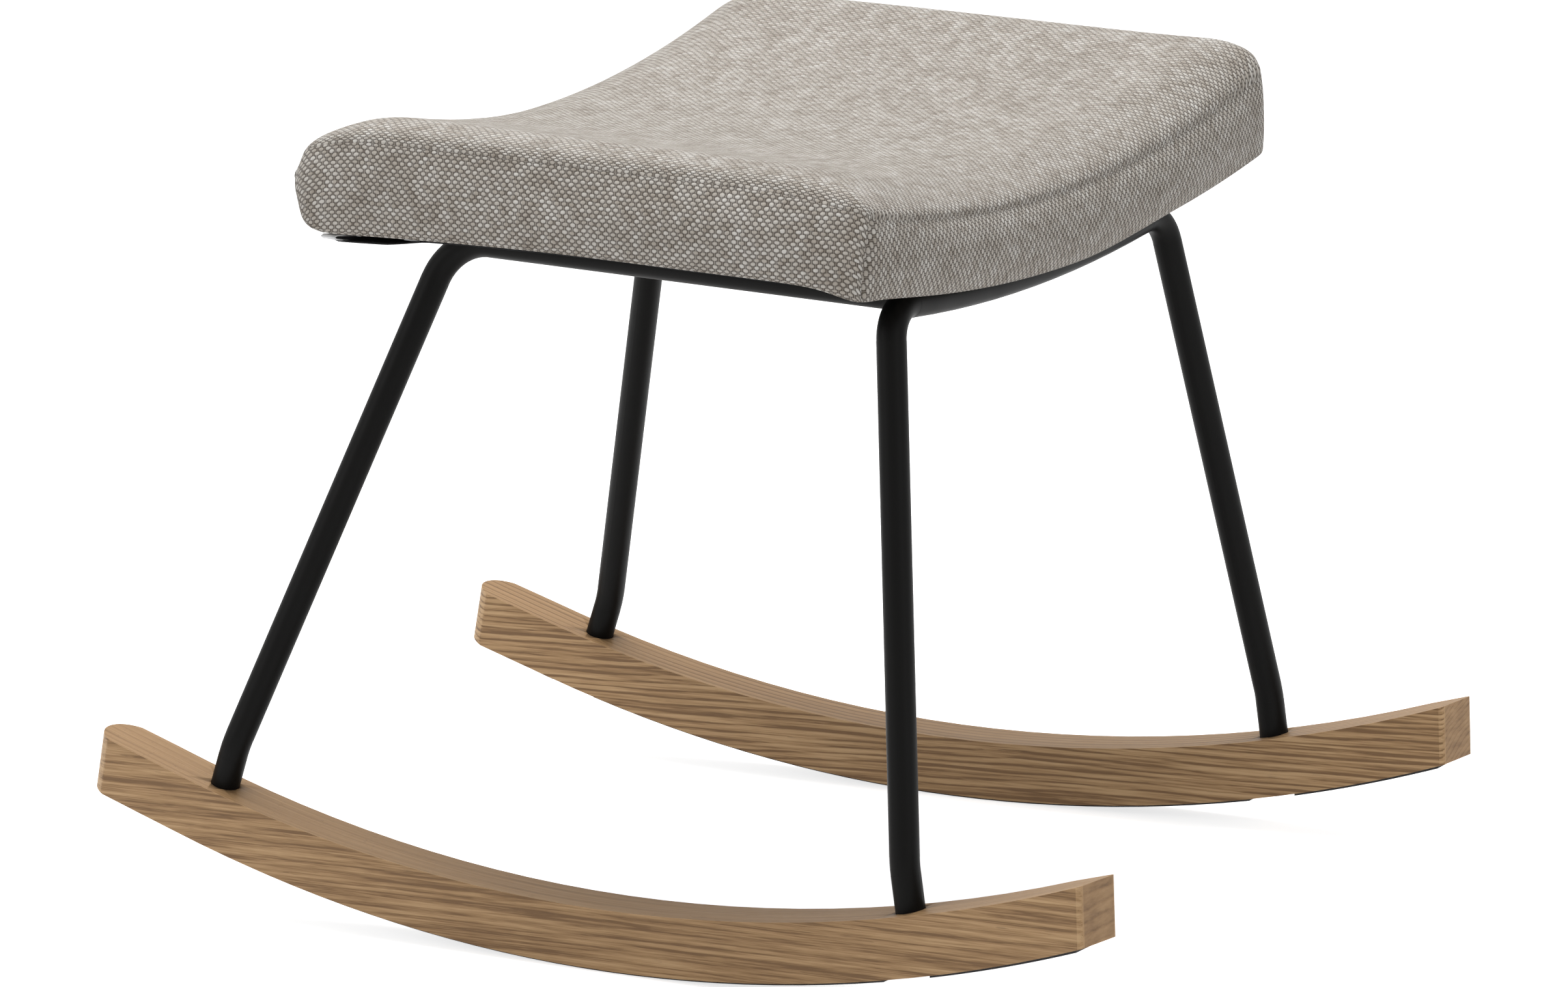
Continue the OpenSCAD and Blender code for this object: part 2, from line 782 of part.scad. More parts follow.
rocker(LEFT);  // rocker_left
rocker(RIGHT);  // rocker_right
grip_rear(LEFT);  // grip_left_rear
grip_middle(LEFT);  // grip_left_middle
grip_front(LEFT);  // grip_left_front
grip_rear(RIGHT);  // grip_right_rear
grip_middle(RIGHT);  // grip_right_middle
grip_front(RIGHT);  // grip_right_front
front_hoop();
rear_frame(LEFT);  // rear_frame_left
rear_frame(RIGHT);  // rear_frame_right
rear_cross_tube();
leg_plugs();
leg_bolts();
leg_washers();
seat_plate(FRONT, LEFT);  // plate_front_left
seat_plate(FRONT, RIGHT);  // plate_front_right
seat_plate(REAR, LEFT);  // plate_rear_left
seat_plate(REAR, RIGHT);  // plate_rear_right
seat_shell();
seat_foam();
cover_top();
end_panel(FRONT);  // cover_front
end_panel(REAR);  // cover_rear
dust_cover();
seat_screws();
seat_washers();
tee_nuts();
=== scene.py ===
# %% [markdown]
# # A rocking footstool
#
# A saddle-shaped upholstered seat sits on a frame of thin bent steel tube, and the frame stands on two wooden
# rockers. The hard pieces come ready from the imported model. This script gives every surface its finish, and it
# models the soft pieces, which a rigid model can only block out.

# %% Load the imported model
import math

import bmesh
import bpy
from mathutils import Matrix, Vector, noise


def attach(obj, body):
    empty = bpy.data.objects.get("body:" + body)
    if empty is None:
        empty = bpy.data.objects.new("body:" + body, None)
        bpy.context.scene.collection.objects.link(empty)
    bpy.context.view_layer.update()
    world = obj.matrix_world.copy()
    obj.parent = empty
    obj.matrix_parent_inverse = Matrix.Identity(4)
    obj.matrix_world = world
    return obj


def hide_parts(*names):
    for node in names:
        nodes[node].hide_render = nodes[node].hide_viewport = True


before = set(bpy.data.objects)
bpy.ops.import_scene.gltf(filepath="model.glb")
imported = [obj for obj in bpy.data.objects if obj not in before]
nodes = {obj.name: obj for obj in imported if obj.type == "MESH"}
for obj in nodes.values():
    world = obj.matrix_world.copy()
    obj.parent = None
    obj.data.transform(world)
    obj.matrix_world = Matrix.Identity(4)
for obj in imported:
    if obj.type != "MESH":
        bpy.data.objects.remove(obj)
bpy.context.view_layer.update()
MM = 0.001
print("packed model:", len(nodes), "nodes")

# %% [markdown]
# ## The level stool and the settled stool
#
# The stool was designed level, with the lowest point of its rockers at X = 0. Standing free, it rolls a little
# forward until its centre of mass is over the line where the rockers touch the floor. Each new piece could be
# written in that leaning place, but then no number would be easy to check. So everything below is written in level
# millimetres, and one matrix turns it into the settled frame in metres.

# %% From level millimetres to settled metres
ROCKER_RADIUS = 930.0
ROCKER_HEIGHT = 33.5
GRIP_THICKNESS = 1.5
ROCKER_CENTRE_Z = ROCKER_RADIUS + GRIP_THICKNESS
FRONT_REACH = 333.0
REAR_REACH = 300.0
FRONT_FACE_SLOPE = math.tan(math.radians(2.5))
REST_LEAN = math.radians(2.4)


def arc_rise(radius, reach):
    return radius - math.sqrt(radius * radius - reach * reach)


def leaned_x(x, z):
    return x * math.cos(REST_LEAN) + (z - ROCKER_CENTRE_Z) * math.sin(REST_LEAN)


def centring_x():
    front_z = GRIP_THICKNESS + arc_rise(ROCKER_RADIUS, FRONT_REACH)
    front_low = leaned_x(FRONT_REACH, front_z)
    front_high = leaned_x(FRONT_REACH - ROCKER_HEIGHT * FRONT_FACE_SLOPE, front_z + ROCKER_HEIGHT)
    rear = leaned_x(-REAR_REACH, GRIP_THICKNESS + arc_rise(ROCKER_RADIUS, REAR_REACH))
    return -(max(front_low, front_high) + rear) / 2


SETTLE = (
    Matrix.Scale(MM, 4)
    @ Matrix.Translation((centring_x(), 0, ROCKER_CENTRE_Z))
    @ Matrix.Rotation(REST_LEAN, 4, "Y")
    @ Matrix.Translation((0, 0, -ROCKER_CENTRE_Z))
)
LEVEL = SETTLE.inverted()
print("the level origin settles at", [round(c, 4) for c in SETTLE.translation])

# %% [markdown]
# ## The camera
#
# A long lens far from the stool keeps its verticals nearly parallel. A camera can be placed by eye, but lengths
# then never quite agree. This one was fitted to the tubes, the rocker arcs and the seat's edges, and its place is
# written in the level frame like everything else.

# %% Camera at the photographed angle
CAMERA_PLACE = Vector((2199.6, -3556.8, 1237.8))
CAMERA_AZIMUTH = math.radians(31.443)
CAMERA_ELEVATION = math.radians(13.76)
SENSOR_WIDTH = 36.0
FOCAL_LENGTH = 180.2
FRAME_SHIFT = (-0.0031, 0.0003)
CLIP_RANGE = (0.1, 50.0)


def level_camera_turn():
    back = Vector(
        (
            math.sin(CAMERA_AZIMUTH) * math.cos(CAMERA_ELEVATION),
            -math.cos(CAMERA_AZIMUTH) * math.cos(CAMERA_ELEVATION),
            math.sin(CAMERA_ELEVATION),
        )
    )
    right = Vector((math.cos(CAMERA_AZIMUTH), math.sin(CAMERA_AZIMUTH), 0))
    return Matrix((right, back.cross(right), back)).transposed().to_4x4()


camera_data = bpy.data.cameras.new("photo_camera")
camera_data.sensor_width = SENSOR_WIDTH
camera_data.sensor_fit = "HORIZONTAL"
camera_data.lens = FOCAL_LENGTH
camera_data.shift_x, camera_data.shift_y = FRAME_SHIFT
camera_data.clip_start, camera_data.clip_end = CLIP_RANGE
camera = bpy.data.objects.new("photo_camera", camera_data)
bpy.context.scene.collection.objects.link(camera)
lean_turn = Matrix.Rotation(REST_LEAN, 4, "Y")
camera.matrix_world = Matrix.Translation(SETTLE @ CAMERA_PLACE) @ lean_turn @ level_camera_turn()
bpy.context.scene.camera = camera
print("camera at", [round(c, 3) for c in camera.matrix_world.translation])

# %% [markdown]
# ## Building materials from nodes
#
# Every finish below is procedural. Nodes could be wired one by one, but the recipes would drown in it, so a few
# helpers do the wiring: each adds one node, and takes either numbers or other nodes' outputs.


# %% Helpers that add a material, a node or a link
def new_material(name, **sockets):
    material = bpy.data.materials.new(name)
    material.use_nodes = True
    shader = material.node_tree.nodes["Principled BSDF"]
    for label, value in sockets.items():
        shader.inputs[label.replace("_", " ")].default_value = value
    return material, shader


def add(material, kind, **settings):
    made = material.node_tree.nodes.new("ShaderNode" + kind)
    for name, value in settings.items():
        setattr(made, name, value)
    return made


def join(material, source, target):
    if isinstance(source, (int, float, tuple)):
        target.default_value = source
    else:
        material.node_tree.links.new(source, target)


# %% Helpers for numbers and vectors
def maths(material, operation, *values):
    made = add(material, "Math", operation=operation)
    for value, socket in zip(values, made.inputs):
        join(material, value, socket)
    return made.outputs[0]


# Adds each pattern, times its weight, to a starting number or pattern.
def layered(material, start, *layers):
    total = start
    for pattern, weight in layers:
        total = maths(material, "MULTIPLY_ADD", pattern, weight, total)
    return total


def split(material, source):
    made = add(material, "SeparateXYZ")
    join(material, source, made.inputs[0])
    return made.outputs


def scaled(material, source, factors):
    made = add(material, "VectorMath", operation="MULTIPLY")
    join(material, source, made.inputs[0])
    made.inputs[1].default_value = factors
    return made.outputs[0]


# How far the surface faces along an axis, from -1 to 1.
def facing(material, axis):
    return split(material, add(material, "NewGeometry").outputs["True Normal"])[axis]


# %% Helpers for patterns and colours
def noise_at(material, coordinates, scale, detail=2.0, roughness=0.5, output=0):
    made = add(material, "TexNoise")
    join(material, coordinates, made.inputs["Vector"])
    made.inputs["Scale"].default_value = scale
    made.inputs["Detail"].default_value = detail
    made.inputs["Roughness"].default_value = roughness
    return made.outputs[output]


def ramp(material, source, stops, easing="LINEAR"):
    made = add(material, "ValToRGB")
    made.color_ramp.interpolation = easing
    elements = made.color_ramp.elements
    while len(elements) < len(stops):
        elements.new(0.5)
    for element, (place, colour) in zip(elements, stops):
        element.position = place
        element.color = (*colour, 1.0)
    join(material, source, made.inputs[0])
    return made.outputs[0]


def greys(*stops):
    return [(place, (level, level, level)) for place, level in stops]


# A Mix node keeps separate sockets for each kind of data: inputs 2 and 3 are numbers, and 6 and 7 are colours.
def mixed_number(material, factor, first, second):
    made = add(material, "Mix", data_type="FLOAT")
    join(material, factor, made.inputs[0])
    join(material, first, made.inputs[2])
    join(material, second, made.inputs[3])
    return made.outputs[0]


def mixed(material, factor, first, second, blend="MIX"):
    made = add(material, "Mix", data_type="RGBA", blend_type=blend)
    join(material, factor, made.inputs[0])
    join(material, first, made.inputs[6])
    join(material, second, made.inputs[7])
    return made.outputs[2]


def bump_from(material, shader, height, strength, distance):
    made = add(material, "Bump")
    made.inputs["Strength"].default_value = strength
    made.inputs["Distance"].default_value = distance
    join(material, height, made.inputs["Height"])
    join(material, made.outputs[0], shader.inputs["Normal"])


# %% [markdown]
# ## The wool cloth
#
# The cover is a thick basket-like plain weave. Modelling every thread would take millions of faces, so the weave
# is worked out from nodes. They read the cloth's own UV map, which is laid out in metres, so a crossing has its
# real size on every panel. The weft shows as a pale oval wherever it passes over the warp, and the warp shows
# between the ovals as a lower, two-ply thread. A slow wobble keeps the rows from looking printed.

# %% Threads that pass over and under each other
WARP_PITCH = 0.0023
WEFT_PITCH = 0.0020
WOBBLE_SCALE = 170.0
WOBBLE = 0.0016
OVAL_REACH = 0.72
OVAL_WIDTH = 0.52
WARP_LOW = 0.12
WARP_PLY = 0.28
# An even number, larger than any count of threads, keeps the counts positive for the modulo.
EVEN_SHIFT = 4000.0


def wobbled(m, place):
    moved = add(m, "VectorMath", operation="MULTIPLY_ADD")
    join(m, noise_at(m, place, WOBBLE_SCALE, 3.0, output="Color"), moved.inputs[0])
    moved.inputs[1].default_value = (WOBBLE, WOBBLE, 0.0)
    join(m, place, moved.inputs[2])
    return moved.outputs[0]


def woven_threads(m, place):
    axes = split(m, wobbled(m, place))
    u = maths(m, "DIVIDE", axes["X"], WARP_PITCH)
    v = maths(m, "DIVIDE", axes["Y"], WEFT_PITCH)
    row = maths(m, "FLOOR", v)
    count = maths(m, "ADD", maths(m, "FLOOR", u), row)
    parity = maths(m, "MODULO", maths(m, "ADD", count, EVEN_SHIFT), 2.0)
    weft_over = maths(m, "GREATER_THAN", parity, 0.5)
    in_u = maths(m, "SUBTRACT", maths(m, "FRACT", u), 0.5)
    in_v = maths(m, "SUBTRACT", maths(m, "FRACT", v), 0.5)
    near_u = maths(m, "ABSOLUTE", in_u)
    past_u = maths(m, "SUBTRACT", 1.0, near_u)
    oval_u = maths(m, "DIVIDE", mixed_number(m, weft_over, past_u, near_u), OVAL_REACH)
    oval_v = maths(m, "DIVIDE", in_v, OVAL_WIDTH)
    oval = maths(m, "ADD", maths(m, "MULTIPLY", oval_u, oval_u), maths(m, "MULTIPLY", oval_v, oval_v))
    weft = maths(m, "SQRT", maths(m, "MAXIMUM", maths(m, "SUBTRACT", 1.0, oval), 0.0))
    ply = maths(m, "ABSOLUTE", maths(m, "COSINE", maths(m, "MULTIPLY", in_u, 2 * math.pi)))
    warp = maths(m, "MULTIPLY", layered(m, WARP_LOW, (ply, WARP_PLY)), maths(m, "SUBTRACT", 1.0, weft_over))
    cell = add(m, "CombineXYZ")
    join(m, maths(m, "FLOOR", maths(m, "MULTIPLY", maths(m, "ADD", u, parity), 0.5)), cell.inputs[0])
    join(m, row, cell.inputs[1])
    chance = add(m, "TexWhiteNoise", noise_dimensions="2D")
    join(m, cell.outputs[0], chance.inputs[0])
    return maths(m, "MAXIMUM", weft, warp), chance.outputs[0]


# %% [markdown]
# ## Yarn colours
#
# The yarn is spun from mixed beige and grey wool. One colour would look dyed, so a random number for each visible
# thread and slow noise choose among four tones. The gaps between the threads and the low warp are darkened by
# painted shade, down to nearly black. On top of the seat, where the cloth faces up, that painted shade is paler,
# as painted light from above: the surface's own direction tells the nodes where that is.

# %% Woven wool
YARN_TONES = (
    (0.25, (0.315, 0.270, 0.224)),
    (0.48, (0.452, 0.408, 0.356)),
    (0.66, (0.550, 0.512, 0.464)),
    (0.90, (0.680, 0.655, 0.618)),
)
# Painted shade: thread heights become darkness, nearly black in the gaps between the threads.
GAP_SHADE_TONES = ((0.0, (0.03, 0.024, 0.020)), (0.30, (0.32, 0.297, 0.275)), (0.58, (1.0, 1.0, 1.0)))
BLOTCH_TONES = ((0.35, (0.945, 0.94, 0.93)), (0.65, (1.03, 1.03, 1.03)))
# Painted light: on cloth that faces up, the painted shade in the gaps is lightened towards this pale tone.
LIT_TOP_GAP_TONE = (0.80, 0.79, 0.78, 1.0)
LIT_TOP_SHARES = greys((0.60, 0.0), (0.95, 0.34))
SLUB_STRETCH = (1.0, 0.3, 1.0)
SLUB_WEIGHT = 0.85
CHANCE_WEIGHT = 0.38
FUZZ_WEIGHT = 0.25
WEAVE_DEPTH = 0.0006


def woven_cloth():
    m, shader = new_material(
        "woven_wool", Roughness=0.9, Specular_IOR_Level=0.15, Sheen_Weight=0.2, Sheen_Roughness=0.6
    )
    place = add(m, "UVMap", uv_map="cloth").outputs[0]
    height, chance = woven_threads(m, place)
    slub = noise_at(m, scaled(m, place, SLUB_STRETCH), 110.0, 5.0, 0.7)
    yarn = ramp(m, layered(m, 0.0, (slub, SLUB_WEIGHT), (chance, CHANCE_WEIGHT)), YARN_TONES)
    # Painted light from above: the more the cloth faces up, the paler its gaps are painted.
    lit_top = ramp(m, facing(m, "Z"), LIT_TOP_SHARES)
    # The thread heights become painted shade, down to nearly black in the gaps between the threads.
    gap_shade = mixed(m, lit_top, ramp(m, height, GAP_SHADE_TONES), LIT_TOP_GAP_TONE)
    cloth = mixed(m, 1.0, yarn, gap_shade, "MULTIPLY")
    blotch = ramp(m, noise_at(m, place, 26.0, 3.0, 0.6), BLOTCH_TONES)
    join(m, mixed(m, 1.0, cloth, blotch, "MULTIPLY"), shader.inputs["Base Color"])
    fuzz = noise_at(m, place, 2400.0, 3.0, 0.7)
    bump_from(m, shader, layered(m, height, (fuzz, FUZZ_WEIGHT)), 1.0, WEAVE_DEPTH)
    return m


wool = woven_cloth()
print(wool.name, "uses", len(wool.node_tree.nodes), "nodes")

# %% [markdown]
# ## Oiled oak
#
# Each rocker is sawn from a straight board, so its growth rings are long cylinders that run almost along it. A
# flat pattern would break at every edge, so this one fills the wood: a place's distance from the board's heart
# line says which ring it is in. Noise stretched along the board adds the streaks, fibres and pores, and slow noise
# makes the rings wander.

# %% Rings and grain inside a board
RING_TONES = greys((0.0, 0.15), (0.22, 0.95), (0.50, 0.25), (1.0, 0.03))
TOP_RING_WIDENING = 1.75
TOP_WANDER = 0.4
HEART_TILT = 0.02
# Each grain has its scale, detail and roughness, then a factor along, across and up the board. A small factor
# draws the grain out far in that direction.
GRAINS = {
    "drift": (24.0, 3.0, 0.50, (0.16, 0.50, 1.0)),
    "broad": (190.0, 3.0, 0.55, (0.04, 0.30, 1.0)),
    "streaks": (560.0, 4.0, 0.66, (0.022, 0.25, 1.0)),
    "fibres": (1300.0, 3.0, 0.65, (0.03, 0.50, 1.0)),
    "pores": (1500.0, 1.0, 0.50, (0.05, 1.0, 1.0)),
    "cloud": (18.0, 2.0, 0.50, (0.30, 1.0, 1.0)),
    "lines": (620.0, 3.0, 0.60, (0.012, 1.0, 0.02)),
    "arcs": (240.0, 3.0, 0.55, (0.02, 0.35, 1.0)),
}


def place_in_board(m, heart_y, heart_z, turn):
    turned = add(m, "Mapping")
    turned.inputs["Rotation"].default_value = (0.0, HEART_TILT, turn)
    turned.inputs["Location"].default_value = (0.0, -heart_y, -heart_z)
    join(m, add(m, "TexCoord").outputs["Object"], turned.inputs["Vector"])
    return turned.outputs[0]


def ring_band(m, distance, width):
    ring = maths(m, "FRACT", maths(m, "DIVIDE", distance, width))
    return ramp(m, ring, RING_TONES, "EASE")


def ring_bands(m, place, drift, ring_width, wander):
    axes = split(m, place)
    across = maths(m, "MULTIPLY", axes["Y"], axes["Y"])
    upright = maths(m, "MULTIPLY", axes["Z"], axes["Z"])
    from_heart = maths(m, "SQRT", maths(m, "ADD", across, upright))
    band = ring_band(m, layered(m, from_heart, (drift, wander)), ring_width)
    top_wander = layered(m, axes["Y"], (drift, TOP_WANDER * wander))
    return band, ring_band(m, top_wander, TOP_RING_WIDENING * ring_width)


# %% [markdown]
# ## Three cuts through one board
#
# The curved saw cuts slice through the rings: dark bands crowd together on the side faces, thin lines run along
# the top, and the ends show short arcs. The rings alone give this only for a perfect board, so each kind of face
# has its own mix of the grains, chosen by the direction it faces. Sanded edges are paler, partly from wear and
# partly as a painted highlight where they catch the light, and the rounded rear end is paler, partly from its end
# grain and partly as painted light from the left; a number stored on their faces says where they are. The mix is
# a depth of tone, from pale earlywood at 0.4 to dark latewood at 1.

# %% Oak for a rocker whose board has its own heart line
OAK_TONES = (
    (0.40, (0.510, 0.335, 0.178)),
    (0.62, (0.420, 0.262, 0.130)),
    (0.82, (0.310, 0.184, 0.086)),
    (1.00, (0.185, 0.102, 0.045)),
)
PORE_TONE = (0.10, 0.056, 0.027, 1.0)
PORE_LIMIT = 0.68
TOP_SHARES = greys((0.70, 0.0), (0.90, 1.0))
END_SHARES = greys((0.75, 0.0), (0.92, 1.0))
WEAR_AND_LIGHT_PALENESS = 0.20
STREAKS_IN_BAND = 1.2
GRAIN_DEPTH = 0.0003


def oiled_oak(name, heart_y, heart_z, turn, ring_width, contrast, wander, tone):
    m, shader = new_material(name, Specular_IOR_Level=0.3)
    place = place_in_board(m, heart_y, heart_z, turn)
    grain = {
        kind: noise_at(m, scaled(m, place, factors), scale, detail, roughness)
        for kind, (scale, detail, roughness, factors) in GRAINS.items()
    }
    band, top_band = ring_bands(m, place, grain["drift"], ring_width, wander)
    dark_band = maths(m, "MULTIPLY", band, maths(m, "MULTIPLY", grain["streaks"], STREAKS_IN_BAND))
    side = layered(m, -0.67 - 0.18 * contrast, (grain["streaks"], 1.9), (dark_band, contrast))
    side = layered(m, side, (grain["broad"], 0.35), (grain["fibres"], 0.40), (grain["cloud"], 0.20))
    top = layered(m, 0.36 - 0.05 * contrast, (grain["cloud"], 0.20), (grain["lines"], 0.55))
    top = layered(m, top, (top_band, 0.30 * contrast))
    end = layered(m, 0.48, (band, 0.12), (grain["arcs"], 0.60))
    depth = mixed_number(m, ramp(m, maths(m, "ABSOLUTE", facing(m, "Z")), TOP_SHARES), side, top)
    depth = mixed_number(m, ramp(m, maths(m, "ABSOLUTE", facing(m, "X")), END_SHARES), depth, end)
    worn_and_lit = add(m, "Attribute", attribute_name="worn_and_lit").outputs["Fac"]
    # Marked faces are painted paler: partly real wear and pale end grain, partly painted highlight and painted
    # light from the left.
    depth = layered(m, depth, (worn_and_lit, -WEAR_AND_LIGHT_PALENESS))
    wood = ramp(m, depth, [(stop, tuple(tone * c for c in colour)) for stop, colour in OAK_TONES])
    is_pore = maths(m, "GREATER_THAN", grain["pores"], PORE_LIMIT)
    pore = maths(m, "MULTIPLY", is_pore, layered(m, 0.1, (band, 0.35)))
    join(m, mixed(m, pore, wood, PORE_TONE), shader.inputs["Base Color"])
    join(m, layered(m, 0.40, (grain["fibres"], 0.25)), shader.inputs["Roughness"])
    relief = maths(m, "SUBTRACT", maths(m, "MULTIPLY", grain["fibres"], 0.5), maths(m, "ADD", pore, dark_band))
    bump_from(m, shader, relief, 0.25, GRAIN_DEPTH)
    return m


oak_right = oiled_oak(
    "oiled_oak_right",
    heart_y=-0.178,
    heart_z=-0.085,
    turn=0.0244,
    ring_width=0.0068,
    contrast=0.22,
    wander=0.012,
    tone=1.0,
)
oak_left = oiled_oak(
    "oiled_oak_left",
    heart_y=0.261,
    heart_z=-0.060,
    turn=-0.0244,
    ring_width=0.0031,
    contrast=0.85,
    wander=0.014,
    tone=1.02,
)
print(oak_right.name, "and", oak_left.name, "use", len(oak_left.node_tree.nodes), "nodes each")

# %% [markdown]
# ## Powder coat, rubber, zinc, felt, plywood and tape
#
# The steel is coated in satin black powder, whose skin has a very fine orange peel. The strips under the rockers
# are dull rubber, the screws and staples are zinc plated, the shell is plywood, and the cloth under the seat is a
# black fibre felt with a white cotton tape. A plain colour would look like plastic on all of them. Each is speckled
# with noise at the scale of its own grains or fibres, and only the powder coat needs a recipe of its own.

# %% Powder coat
COAT_COLOUR = (0.0036, 0.0034, 0.0032, 1.0)


def powder_coat():
    m, shader = new_material("black_powder_coat", Base_Color=COAT_COLOUR, Specular_IOR_Level=0.09)
    coordinates = add(m, "TexCoord").outputs["Object"]
    peel = noise_at(m, coordinates, 900.0)
    cloud = noise_at(m, coordinates, 40.0)
    join(m, layered(m, 0.39, (cloud, 0.14)), shader.inputs["Roughness"])
    bump_from(m, shader, peel, 0.12, 0.0002)
    return m


# %% Speckled finishes
SPECKLE_DEPTH = 0.0003


def speckled(name, dark, light, scale, roughness, metallic=0.0, bump=0.2, stretch=(1.0, 1.0, 1.0)):
    m, shader = new_material(name, Roughness=roughness, Metallic=metallic)
    coordinates = add(m, "TexCoord").outputs["Object"]
    grain = noise_at(m, scaled(m, coordinates, stretch), scale, 4.0, 0.6)
    join(m, ramp(m, grain, [(0.35, dark), (0.65, light)]), shader.inputs["Base Color"])
    bump_from(m, shader, grain, bump, SPECKLE_DEPTH)
    return m


black_coat = powder_coat()
rubber = speckled("strip_rubber", (0.020, 0.020, 0.021), (0.034, 0.034, 0.035), 700.0, 0.85)
zinc = speckled("zinc_plate", (0.50, 0.51, 0.52), (0.66, 0.67, 0.68), 240.0, 0.32, metallic=1.0, bump=0.05)
felt = speckled("black_felt", (0.008, 0.008, 0.009), (0.026, 0.026, 0.028), 1500.0, 0.95, bump=0.5)
plywood = speckled("plywood", (0.42, 0.29, 0.17), (0.60, 0.45, 0.29), 120.0, 0.6, stretch=(0.1, 1.0, 1.0))
white_tape = speckled("white_tape", (0.82, 0.82, 0.82), (0.90, 0.90, 0.90), 900.0, 0.8)
print(len(bpy.data.materials), "materials so far")

# %% [markdown]
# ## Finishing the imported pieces
#
# The tubes, plates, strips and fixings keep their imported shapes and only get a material. It could be assigned to
# each by its full name, but pieces of one finish share the start of their names, so a short table is enough.

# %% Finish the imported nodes
FINISHES = {
    "grip": rubber,
    "front_hoop": black_coat,
    "rear_frame": black_coat,
    "rear_cross": black_coat,
    "plate": black_coat,
    "leg_": zinc,
    "seat_screws": zinc,
    "seat_washers": zinc,
    "tee_nuts": zinc,
    "seat_shell": plywood,
}
for name, node in nodes.items():
    finish = next((made for start, made in FINISHES.items() if name.startswith(start)), None)
    if finish:
        node.data.materials.clear()
        node.data.materials.append(finish)
        print(name, "is finished in", finish.name)

# %% [markdown]
# ## Placing new pieces
#
# A new piece is made as a bmesh in level millimetres, settled into the frame, and handed over as one object that
# rides on the stool's only body. Turning the object would do as well for a picture, but a pattern would slide over
# it if it were exported. So the mesh is moved, and the object stays at the origin.


# %% From a bmesh to a piece
def piece_from(bm, name, material, smooth=True):
    mesh = bpy.data.meshes.new(name)
    bm.to_mesh(mesh)
    bm.free()
    for polygon in mesh.polygons:
        polygon.use_smooth = smooth
    mesh.materials.append(material)
    piece = bpy.data.objects.new(name, mesh)
    bpy.context.scene.collection.objects.link(piece)
    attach(piece, "root")
    return piece


def settled_piece(bm, name, material, smooth=True):
    bmesh.ops.transform(bm, matrix=SETTLE, verts=bm.verts)
    return piece_from(bm, name, material, smooth)


# %% [markdown]
# ## Rockers with softened edges
#
# Wood is never sharp: the real rockers have edges sanded round, and these catch the light as a thin pale line. The
# packed rocker is exact but sharp, so a copy is merged, its flat faces are joined again, and only its outer edges
# are bevelled. Its mesh may not be changed, so a copy is merged, its flat faces are joined again, and only its
# outer edges are bevelled. The front corners are rounded more than the rest, and the bores for the feet keep their
# edges. Before that, the copy gets the true ends of the real rocker: a rear end a few millimetres longer, and a
# front face cut slightly askew.

# %% Which edges of a rocker are sanded
EDGE_ROUNDING = 1.4
CORNER_ROUNDING = 2.6
SHARP = math.radians(35)
FOOT_X = 221.0
BORE_REACH = 19.0
SHORT_EDGE = 4.0
FRONT_ZONE = 4.0
# How closely a direction has to follow an axis to count as lying along it.
MOSTLY = 0.9


def level_place(v):
    return LEVEL @ v.co


def is_bore_edge(edge):
    first, second = (level_place(v) for v in edge.verts)
    middle = (first + second) / 2
    near = min(abs(middle.x - FOOT_X), abs(middle.x + FOOT_X)) < BORE_REACH
    along = abs((first - second).normalized().x)
    return near and (edge.calc_length() < SHORT_EDGE * MM or along < MOSTLY)


def is_outer_edge(edge):
    return not is_bore_edge(edge)


def is_front_corner(edge):
    first, second = (level_place(v) for v in edge.verts)
    upright = abs((first - second).normalized().z)
    return min(first.x, second.x) > FRONT_REACH - FRONT_ZONE and upright > MOSTLY


# %% The true ends of a rocker
REAR_ZONE = 40.0
REAR_STRETCH = 6.0
FRONT_SKEW = 3.5
ROCKER_MID_X = (FRONT_REACH - REAR_REACH) / 2
ROCKER_MID_Y = 195.0
HALF_THICKNESS = 15.0
TOE = math.tan(math.radians(1.4))


def trued_ends(bm):
    rear_start = REAR_ZONE - REAR_REACH
    for v in bm.verts:
        p = level_place(v)
        if p.x < rear_start:
            p.x -= REAR_STRETCH * min(1.0, (rear_start - p.x) / REAR_ZONE)
        if p.x > FRONT_REACH - FRONT_ZONE:
            middle = ROCKER_MID_Y + (p.x - ROCKER_MID_X) * TOE
            p.x += FRONT_SKEW * (0.5 + 0.5 * (p.y - math.copysign(middle, p.y)) / HALF_THICKNESS)
        v.co = SETTLE @ p


# %% Softened copies of the rockers
SAME_PLACE = 1e-6
FLAT = math.radians(0.05)
CREASED = math.radians(40)
ROUNDING_STEPS = 4
REAR_ROUND_X = -290.0 * MM
REAR_FACING = -0.4


